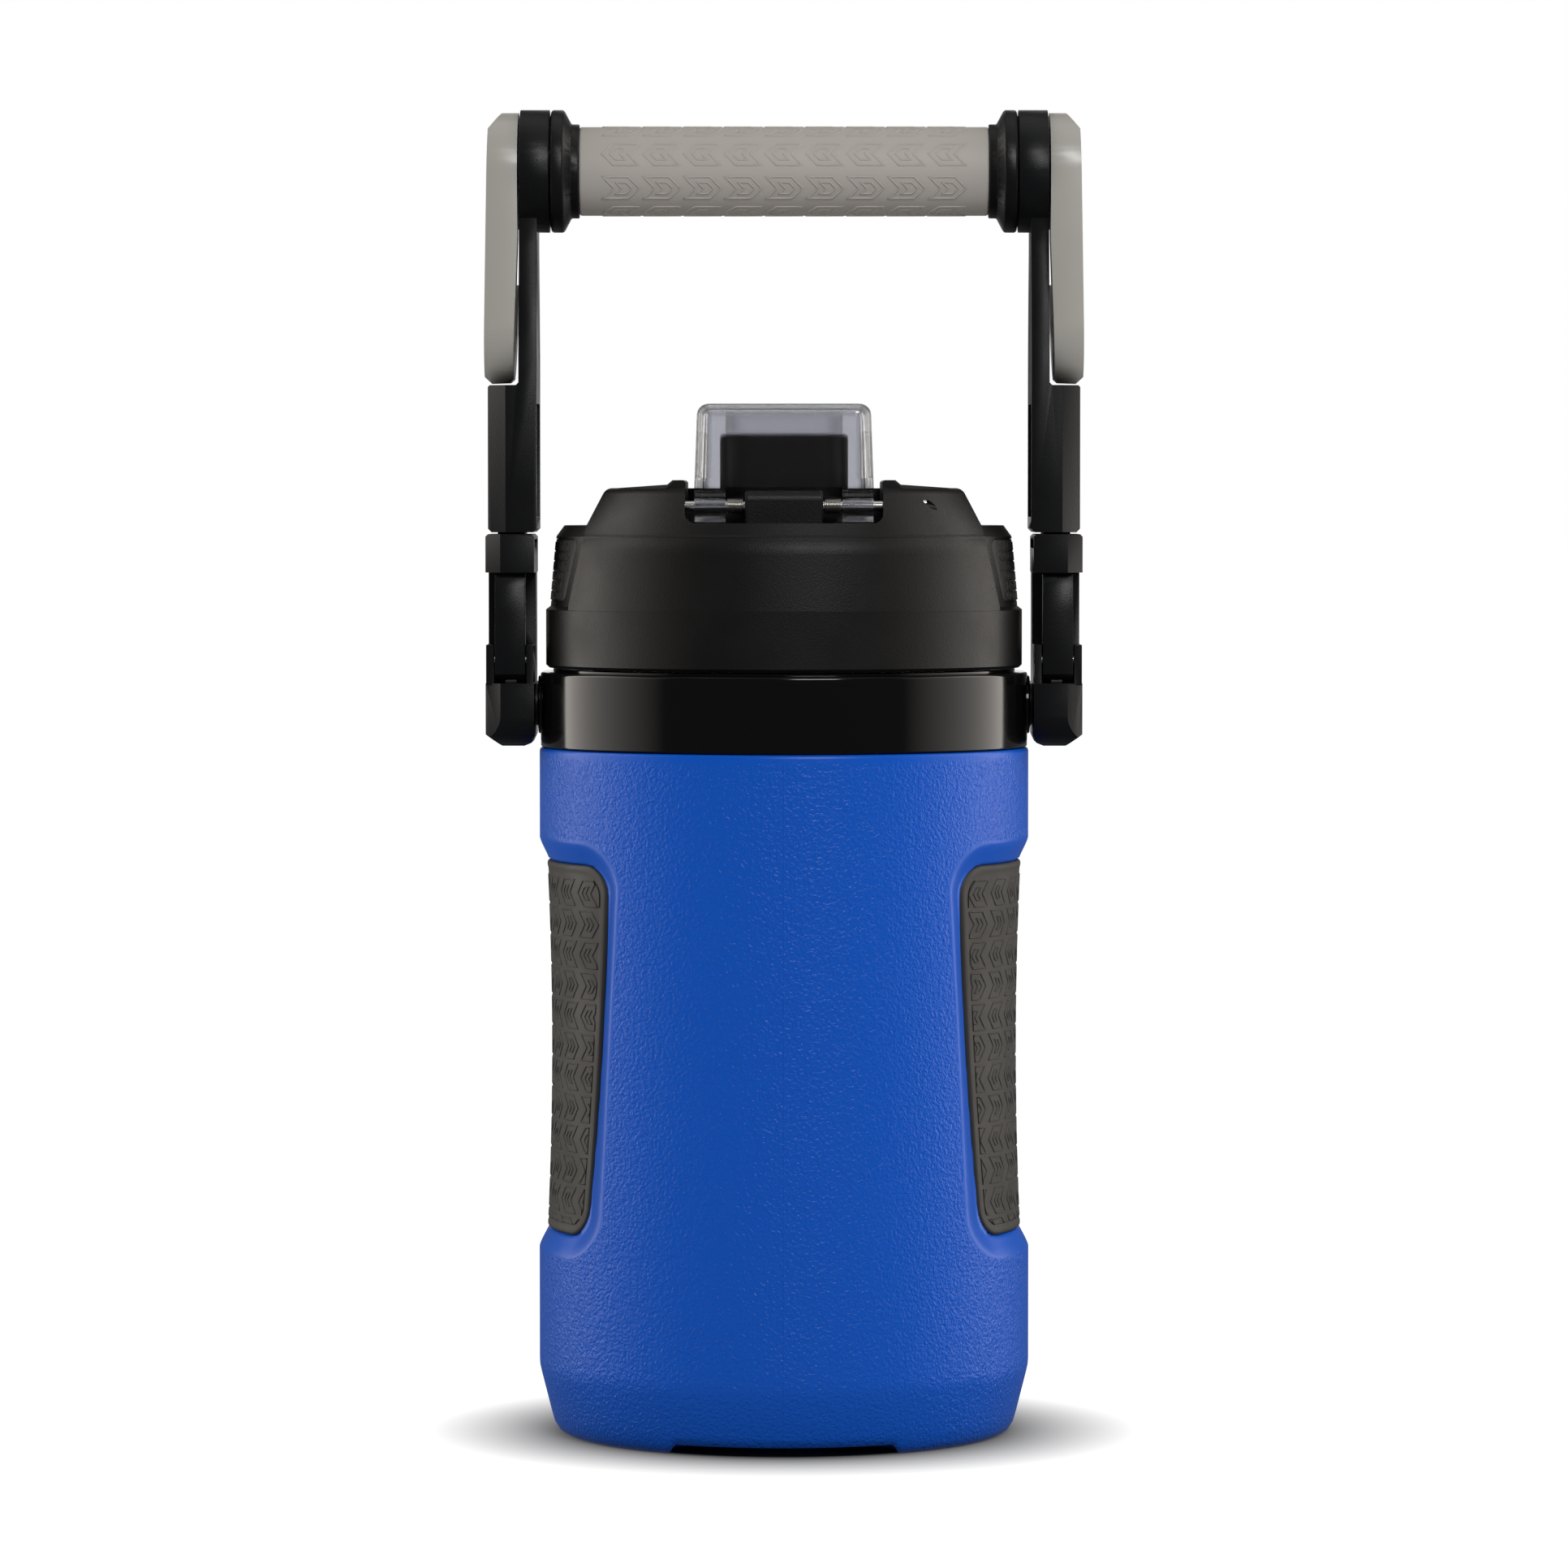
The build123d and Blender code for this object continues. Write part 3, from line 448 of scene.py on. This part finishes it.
def quarter(z, radius):
    """Azimuths of a quarter's columns at each height: even steps between marks, with most of them packed
    where the scoop's edge and the foot's notch are.
    """
    low, high, low_half, high_half, _ = SCOOP
    half = low_half + (high_half - low_half) * climb(low, high, z)
    edge = np.arcsin(np.clip(half / radius, 0, 1))
    ramp = np.arccos((NOTCH_HALF + NOTCH_RAMP) / radius)
    notch = np.arccos(NOTCH_HALF / radius)
    marks = np.stack([0 * z, edge - radians(11), edge + radians(2.5), ramp, notch, 0 * z + pi / 2], -1)
    counts = (18, 34, 14, 3, 22)
    spans = [marks[:, i:i + 1] + (marks[:, i + 1:i + 2] - marks[:, i:i + 1]) * np.arange(n) / n
             for i, n in enumerate(counts)]
    return np.concatenate(spans, 1)


def outer_shell():
    """Blue shell: a profile turned about Z, its radius pressed in by two scoops and its foot lifted at
    two notches. Rows of the grid follow the profile, columns the azimuth.
    """
    rim = rounded([(67.3, BODY_TOP - 3), (67.3, BODY_TOP), (64, BODY_TOP)], [0, 1.2, 0])
    heights = np.concatenate([np.linspace(5.6, 18.5, 8), np.linspace(20, SCOOP_LOW - 2, 12),
                              np.linspace(SCOOP_LOW - 1.5, SCOOP_LOW + 19, 42),
                              np.linspace(SCOOP_LOW + 22, SCOOP_HIGH - 22, 20),
                              np.linspace(SCOOP_HIGH - 19, SCOOP_HIGH + 1.5, 42),
                              np.linspace(SCOOP_HIGH + 2.5, BODY_TOP - 4, 9)])
    wall = np.interp(heights, [5.6, 18.0, 19.5, 120, 165, 190], [64.2, 67.36, 67.5, 67.5, 67.3, 67.3])
    foot = np.array([(2.0, 3), (20, 3), (47, 3), (48.2, 0.8), (49, 0), (58.5, 0), (60.6, 0.15), (62.2, 1.0),
                     (63.4, 2.9)])
    inside = np.array([(54, BODY_TOP), (54, 186.3), (64.2, 186.3), (64.6, 168), (62.0, 160), (61.0, 107),
                       (62.0, 56), (64.4, 46), (64.6, 20), (61.5, 8), (57.5, 5.5), (2.0, 5.5)])
    profile = np.concatenate([foot, np.stack([wall, heights], -1), rim, inside])
    radius = profile[:, :1]
    z = profile[:, 1]
    first = quarter(z, np.maximum(profile[:, 0], SCOOP_LEAST_R))
    angle = np.concatenate([first, pi - np.roll(first[:, ::-1], 1, 1)], 1)
    angle[:, first.shape[1]] = pi / 2
    angle = np.concatenate([angle, angle + pi], 1)
    height = np.broadcast_to(z[:, None], angle.shape)
    outer = np.broadcast_to((np.arange(len(z)) < len(z) - len(inside))[:, None], angle.shape)
    pressed, depth = body_radius(np.broadcast_to(radius, angle.shape), radius * np.sin(angle), height)
    across = np.where(outer, pressed, radius)
    x = across * np.cos(angle)
    y = across * np.sin(angle)
    lift = FOOT_RISE * (1 - smoothstep(0, 1, (np.abs(x) - NOTCH_HALF) / NOTCH_RAMP))
    height = np.maximum(height, lift)
    points = np.stack([x, y, height], -1)
    rows, columns = x.shape
    faces = list(grid_faces(rows, columns, False, True)) + [np.arange(columns)[::-1],
                                                             (rows - 1) * columns + np.arange(columns)]
    piece = new_piece("outer_shell_skin", points.reshape(-1, 3), faces, "jug", "blue_hdpe", ["outer_shell"])
    grain = piece.data.attributes.new("grain", "FLOAT", "POINT")
    rough = (1 - smoothstep(-0.9, -0.1, depth)) * smoothstep(-1.0, -3.5, height - BODY_TOP)
    grain.data.foreach_set("value", rough.reshape(-1).astype(np.float32))


def side_grip(side, name):
    """Soft skin in a flank's scoop, side 1 or -1: the waist's arc inside the grip's round-cornered outline.

    Rows of the grid are heights, packed at the round corners. Columns are shares of the half-width.
    Arrowheads in double lines stand on it, inside a plain raised border.
    """
    low, high, low_half, high_half, corner = GRIP
    edge_round = 0.9
    thickness = 1.4
    corner_rows = corner * (1 - np.cos(np.linspace(0, pi / 2, 14)))
    up = np.concatenate([low + corner_rows, np.linspace(low + 18, high - 18, 30), (high - corner_rows)[::-1]])
    across = np.concatenate([np.linspace(-1, -0.95, 6), np.linspace(-0.93, 0.93, 44),
                             np.linspace(0.95, 1, 6)])

    def half(z, corner=corner, inset=0.0):
        """Half-width of the grip at a height: the trapezoid's, less what its round corners take."""
        straight = low_half + (high_half - low_half) * (z - low) / (high - low) - inset
        reach = np.clip(corner - np.minimum(z - low - inset, high - inset - z), 0, corner)
        return straight - corner + np.sqrt(np.maximum(corner ** 2 - reach ** 2, 0))

    def wrap(y, z, lift):
        """A flat point laid on the flank's circle at its height, lifted off it."""
        radius = waist(z) - 0.2 + lift
        y = np.clip(y, -46, 46) * radius / WAIST_R
        return np.stack([side * np.sqrt(radius ** 2 - y ** 2), y, z], -1)

    def lay(flat, lift):
        """Arc length along the flank to a point on it, kept inside the plain border."""
        z = np.clip(flat[..., 1], low + 3.0, high - 3.0)
        limit = half(z, 6.0, 2.6)
        y = WAIST_R * np.sin(np.clip(flat[..., 0] / WAIST_R, -1.2, 1.2))
        return wrap(np.clip(y, -limit, limit), z, lift)

    z = np.broadcast_to(up[:, None], (len(up), len(across)))
    y = across * half(up)[:, None]
    depth, _ = outline_depth(y, z, *GRIP)
    fall = edge_round - np.sqrt(edge_round ** 2 - (edge_round - np.clip(depth, 0, edge_round)) ** 2)
    border = 0.2 * (1 - smoothstep(1.7, 2.2, depth))
    base = closed_sheet(wrap(y, z, border - fall), wrap(y, z, np.full(y.shape, -thickness)))

    shapes = arrowheads(length=10.3, half=3.75, notch=3.2, columns=12, rows=12, pitch=11.15, drop=8.4,
                        first=(-66.0, high - 7.6))
    middle = lay(shapes, 0).mean(1)
    shapes = shapes[np.abs(middle[:, 1]) < half(middle[:, 2]) - 2.8]
    if side > 0:
        shapes = (shapes * (-1, 1))[:, ::-1]
    inner = shapes + mitres(shapes) * 1.75
    points, faces = together(base, ridges(shapes, 0.5, 0.2, lay), ridges(inner, 0.45, 0.2, lay))
    if side > 0:
        faces = [face[::-1] for face in faces]
    new_piece(name + "_skin", points, faces, "jug", "charcoal_tpr", [name])


def collar_ring():
    """Gloss collar: a closed profile turned about Z, and two round pads turned about the pivots' axis.

    The profile goes round the outer wall, the narrow upstand that the lid's skirt stands over, and the
    hollow that grips the shell's top.
    """
    (_, _, low), (reach, _, top) = span("collar_ring")
    upstand = 0.8
    high = top - upstand
    corners = [(67.0, low), (67.0, high), (63.6, high), (63.6, top), (60.0, top), (60.0, high), (53.2, high),
               (53.2, high - 4), (62.5, high - 4), (62.5, low + 2.5), (54.0, low + 2.5), (54.0, low)]
    ring = turned_z(rounded(corners, [0.5, 1.1, 0.2, 0.3, 0.3, 0.2, 0.4, 0, 0, 0, 0, 0.3], 6), 288)
    pin_low, pin_high = span("right_pivot_pin")
    pad = rounded([(62.8, 3.1), (reach, 3.1), (reach, 8.0), (62.8, 8.0)], [0, 0.2, 0.5, 0])
    right = turned_x(pad, 64, 0, (pin_low[2] + pin_high[2]) / 2)
    left = (right[0] * (-1, 1, 1), right[1][:, ::-1])
    points, faces = together(ring, right, left)
    new_piece("collar_ring_turned", points, faces, "jug", "gloss_black", ["collar_ring"])


# ------------------------------------------------------------------ handle and lid details

def grip_sleeve():
    """Soft sleeve turned about the grip's axis, with eight rows of arrowheads in double lines round it."""
    low, high = span("grip_sleeve")
    reach = high[0]
    radius = (high[2] - low[2]) / 2
    axis = (high[2] + low[2]) / 2
    relief = 0.25
    skin = radius - relief
    line = rounded([(-reach, 9.6), (reach, 9.6), (reach, skin), (-reach, skin)], [0, 0, 0.8, 0.8], 6)
    base = turned_x(line, 128, 0, axis)
    rows = 8
    shapes = arrowheads(length=11.0, half=3.5, notch=3.3, columns=9, rows=rows, pitch=11.15,
                        drop=2 * pi * radius / rows, first=(-50.1, radius * radians(65.5)))

    def lay(flat, lift):
        """Flat (along, around) to the sleeve: around is arc length up from the side that faces -Y."""
        angle = flat[..., 1] / radius
        out = skin + lift
        return np.stack([flat[..., 0], -out * np.cos(angle), axis + out * np.sin(angle)], -1)

    inner = shapes + mitres(shapes) * 1.55
    points, faces = together(base, ridges(shapes, 0.55, relief, lay), ridges(inner, 0.5, relief, lay))
    new_piece("grip_sleeve_skin", points, faces, "handle", "grey_tpr", ["grip_sleeve"])


def torsion_spring(side, name):
    """Wire in a helix round the hinge pin, one leg along the recess's floor and one short leg up."""
    low, high = span("right_torsion_spring")
    y, z = (low[1:] + high[1:]) / 2
    wire = 0.2
    turns = 9.75
    radius = (high[2] - low[2]) / 2 - wire
    start, end = low[0] + wire, high[0] - wire
    t = np.linspace(0, 1, 420)
    angle = -pi / 2 + 2 * pi * turns * t
    coil = np.stack([start + (end - start) * t, y - radius * np.cos(angle), z + radius * np.sin(angle)], -1)
    floor_leg = coil[0] + np.array([(0, 5.6, 0), (0, 2.8, 0)])
    short_leg = coil[-1] + np.array([(0, 0, 0.9), (0, 0, 1.8)])
    path = np.concatenate([floor_leg, coil, short_leg]) * (side, 1, 1)
    points, faces = tube(path, wire, 8)
    if side < 0:
        faces = [face[::-1] for face in faces]
    new_piece(name + "_wire", points, faces, "lid", "spring_steel", [name])


def finger_pad_knurl(side, name):
    """Small arrowhead ridges in rows over a finger pad on the lid's flank, which is part of a cone."""
    low, high = span("right_finger_pad")
    mean_r = 63.5
    shapes = arrowheads(length=4.4, half=1.25, notch=1.3, columns=16, rows=6, pitch=4.6, drop=2.7,
                        first=(-34.0, high[2] - 2.0))

    def lay(flat, lift):
        """Arc length and height to the pad's cone, which narrows by 0.0892 for each millimetre up."""
        z = flat[..., 1]
        radius = 64.37 - 0.0892 * (z - 226) + lift
        angle = flat[..., 0] / mean_r
        return np.stack([side * radius * np.cos(angle), radius * np.sin(angle), z], -1)

    reach = 22.0 + 5.0 * (shapes[:, :, 1] - low[2]) / (high[2] - low[2])
    shapes = shapes[(np.abs(mean_r * np.sin(shapes[:, :, 0] / mean_r)) < reach).all(1)]
    points, faces = ridges(shapes, 0.55, 0.22, lay, pieces=1)
    if side > 0:
        faces = faces[:, ::-1]
    new_piece(name + "_knurl", points, faces, "lid", "pad_black")


outer_shell()
collar_ring()
grip_sleeve()
for side, hand in ((1, "right"), (-1, "left")):
    side_grip(side, hand + "_side_grip")
    torsion_spring(side, hand + "_torsion_spring")
    finger_pad_knurl(side, hand + "_finger_pad")
    softened(hand + "_yoke", 0.45)
    softened(hand + "_upper_arm", 0.45)
    softened(hand + "_gate", 0.4)
    softened(hand + "_end_flange", 0.3)
    softened(hand + "_hook", 0.9, 3)
    softened(hand + "_finger_pad", 0.4)
softened("push_button", 0.3)


# ------------------------------------------------------------------ studio

WARM = (1.0, 0.94, 0.88)


def paper(name, corners, finish):
    """A flat sheet of the studio through four corners, staged so that it is no part of the object."""
    mesh = bpy.data.meshes.new(name)
    mesh.from_pydata(corners, [], [(0, 1, 2, 3)])
    mesh.materials.append(finish)
    sheet = bpy.data.objects.new(name, mesh)
    bpy.context.scene.collection.objects.link(sheet)
    return sheet


def softbox(name, place, aim, width, height, power, fade=None, colour=(1, 1, 1)):
    """A rectangular area lamp aimed at a point, out of the camera's sight, which may fade across."""
    lamp = bpy.data.lights.new(name, "AREA")
    lamp.shape = "RECTANGLE"
    lamp.size = width
    lamp.size_y = height
    lamp.energy = power
    lamp.color = colour
    made = bpy.data.objects.new(name, lamp)
    made.location = place
    made.rotation_euler = (Vector(aim) - Vector(place)).to_track_quat("-Z", "Y").to_euler()
    made.visible_camera = False
    bpy.context.scene.collection.objects.link(made)
    if fade:
        lamp.use_nodes = True
        tree = lamp.node_tree
        spot = node(tree, "ShaderNodeNewGeometry")
        across = node(tree, "ShaderNodeSeparateXYZ", {"Vector": (spot, "Parametric")})
        glow = node(tree, "ShaderNodeMapRange", {"Value": (across, "X")}, To_Min=fade[0], To_Max=fade[1])
        tree.links.new(glow.outputs["Result"], tree.nodes["Emission"].inputs["Strength"])


def floor_paper_with_painted_shadow():
    """White paper lit from above: it glows, except close round the foot, where a contact shadow is painted by
    taking the glow away.

    The glow goes from nothing at the painted shadow's inner radius to full at its outer one, and is dimmer as
    a light on the object than it is to look at.
    """
    made, tree, shader = material("studio_floor_with_painted_contact_shadow", "4A4A4A", 0.9, Emission_Color=(1, 1, 1, 1))
    place = node(tree, "ShaderNodeTexCoord")
    distance = node(tree, "ShaderNodeVectorMath", {0: (place, "Object")}, operation="LENGTH")
    # Painted contact shadow: the floor's glow is nothing within 58 mm of its middle and full beyond 100 mm.
    glow = node(tree, "ShaderNodeMapRange", {"Value": (distance, "Value")}, From_Min=0.058, From_Max=0.1)
    ray = node(tree, "ShaderNodeLightPath")
    share = node(tree, "ShaderNodeMapRange", {"Value": (ray, "Is Camera Ray")}, To_Min=0.6)
    seen = node(tree, "ShaderNodeMath", {0: (glow, "Result"), 1: (share, "Result")}, operation="MULTIPLY")
    tree.links.new(seen.outputs["Value"], shader.inputs["Emission Strength"])
    return made


def studio():
    """Pale floor with a painted contact shadow round the foot, white room, two tall side softboxes, a top
    softbox and a high front key.

    The backdrop only lights the clear cap from behind. A view from that side looks through it.
    """
    scene = bpy.context.scene
    scene.view_settings.view_transform = "Standard"
    world = bpy.data.worlds.new("white_room")
    scene.world = world
    world.use_nodes = True
    tree = world.node_tree
    ray = node(tree, "ShaderNodeLightPath")
    strength = node(tree, "ShaderNodeMapRange", {"Value": (ray, "Is Camera Ray")}, To_Min=0.12)
    tree.links.new(strength.outputs["Result"], tree.nodes["Background"].inputs["Strength"])
    tree.nodes["Background"].inputs["Color"].default_value = (1, 1, 1, 1)

    ground = [(-30, -30, 0), (30, -30, 0), (30, 30, 0), (-30, 30, 0)]
    floor = paper("floor", ground, floor_paper_with_painted_shadow())
    floor.visible_glossy = False
    upright = [(-0.35, 1.8, 0), (0.35, 1.8, 0), (0.35, 1.8, 1.2), (-0.35, 1.8, 1.2)]
    glowing = material("lit_paper_backdrop", "000000", 1.0, Emission_Color=(1, 1, 1, 1),
                       Emission_Strength=1.0)[0]
    backdrop = paper("backdrop", upright, glowing)
    backdrop.visible_camera = False

    softbox("left_softbox", (-0.95, 0.0, 0.55), (0, 0, 0.55), 1.25, 1.3, 10, (2.1, 0.0), WARM)
    softbox("right_softbox", (0.95, 0.0, 0.55), (0, 0, 0.55), 1.25, 1.3, 10, (0.0, 2.1), WARM)
    softbox("top_softbox", (0, 0.1, 1.6), (0, 0, 0.2), 1.4, 1.2, 3.6)
    softbox("front_key", (0.45, -1.6, 1.3), (0, 0, 0.15), 0.7, 0.6, 21)


def camera():
    """Long lens at lid height, tipped down a little to the jug's middle."""
    data = bpy.data.cameras.new("camera")
    data.lens = 161.7
    data.sensor_width = 36.0
    made = bpy.data.objects.new("camera", data)
    distance = 1.940
    height = 0.2575
    middle = 0.1784
    made.location = (0, -distance, height)
    made.rotation_euler = (pi / 2 - atan2(height - middle, distance), 0, 0)
    bpy.context.scene.collection.objects.link(made)
    bpy.context.scene.camera = made


studio()
camera()
